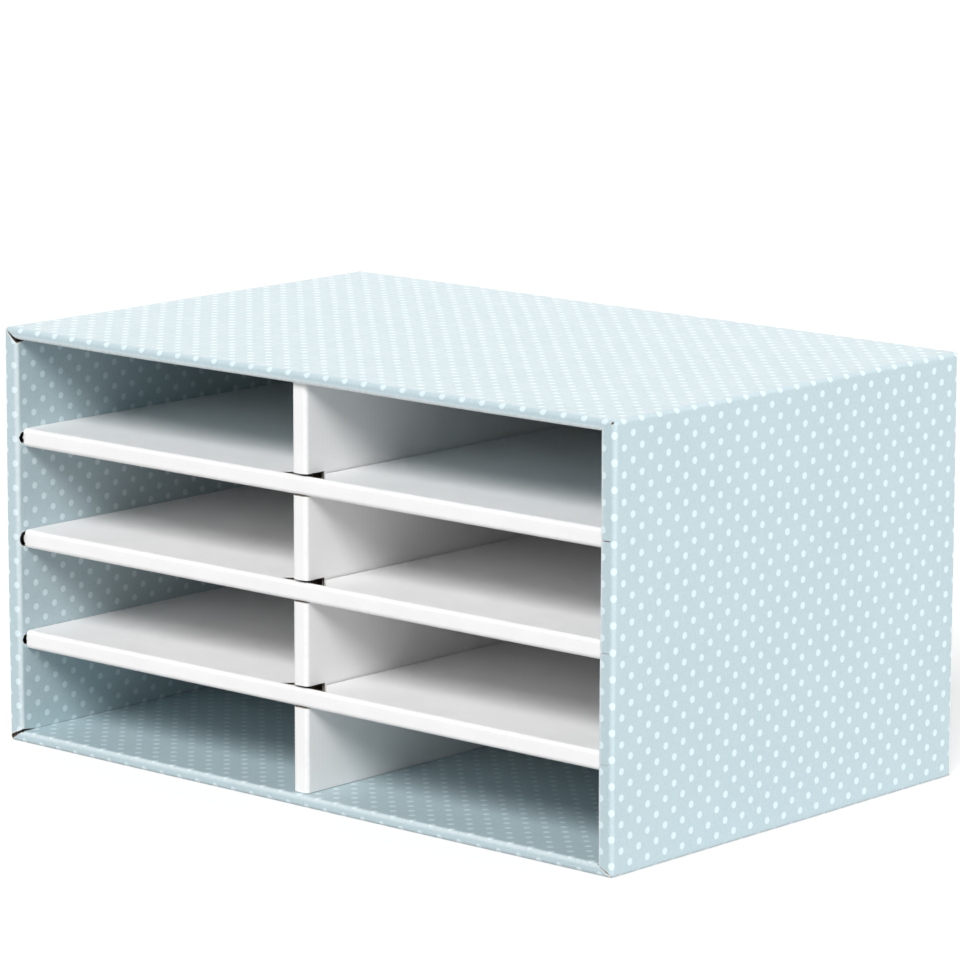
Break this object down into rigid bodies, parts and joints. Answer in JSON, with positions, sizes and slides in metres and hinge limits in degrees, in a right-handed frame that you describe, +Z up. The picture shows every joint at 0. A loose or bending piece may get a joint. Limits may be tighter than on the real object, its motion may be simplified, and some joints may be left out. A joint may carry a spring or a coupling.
{
  "type": "document sorter",
  "caption": "Flat-pack document sorter of folded corrugated board: open-fronted polka-dot sleeve with white slide-in shelves and a divider making compartments for paper.",
  "frame": {"origin": "on the desk, under the middle of the sleeve", "axes": "+X across the front to the viewer's right, +Y from the open front to the back, +Z up"},
  "size_m": [0.49, 0.32, 0.26],
  "materials": {
    "printed_board": "matte",
    "white_board": "matte"
  },
  "bodies": {
    "sleeve": {"top_panel": "printed_board", "bottom_panel": "printed_board", "left_panel": "printed_board", "right_panel": "printed_board", "top_front_edge": "printed_board", "bottom_front_edge": "printed_board", "left_front_edge": "printed_board", "right_front_edge": "printed_board", "top_lining": "printed_board", "bottom_lining": "printed_board", "left_lining": "printed_board", "right_lining": "printed_board", "glue_flap": "printed_board", "left_dust_flap": "printed_board", "right_dust_flap": "printed_board"},
    "back": {"back_panel": "printed_board", "back_tuck_flap": "printed_board"},
    "divider": {"divider_left_ply": "white_board", "divider_right_ply": "white_board", "divider_front_edge": "white_board", "divider_rear_edge": "white_board"},
    "lower_shelf": {"lower_shelf_deck": "white_board", "lower_shelf_underside": "white_board", "lower_shelf_front_edge": "white_board", "lower_shelf_rear_edge": "white_board", "lower_shelf_end_tabs": "white_board"},
    "middle_shelf": {"middle_shelf_deck": "white_board", "middle_shelf_underside": "white_board", "middle_shelf_front_edge": "white_board", "middle_shelf_rear_edge": "white_board", "middle_shelf_end_tabs": "white_board"},
    "upper_shelf": {"upper_shelf_deck": "white_board", "upper_shelf_underside": "white_board", "upper_shelf_front_edge": "white_board", "upper_shelf_rear_edge": "white_board", "upper_shelf_end_tabs": "white_board"}
  },
  "joints": [
    {"name": "insert_slide", "type": "slide", "parent": "sleeve", "child": "divider", "axis": [0, -1, 0], "range_m": [0, 0.32]},
    {"name": "lower_shelf_slide", "type": "slide", "parent": "divider", "child": "lower_shelf", "axis": [0, -1, 0], "range_m": [0, 0.32]},
    {"name": "middle_shelf_slide", "type": "slide", "parent": "divider", "child": "middle_shelf", "axis": [0, -1, 0], "range_m": [0, 0.32]},
    {"name": "upper_shelf_slide", "type": "slide", "parent": "divider", "child": "upper_shelf", "axis": [0, -1, 0], "range_m": [0, 0.32]},
    {"name": "back_hinge", "type": "hinge", "parent": "sleeve", "child": "back", "pos_m": [0, 0.15924, 0.25924], "axis": [1, 0, 0], "range_deg": [0, 120]}
  ]
}
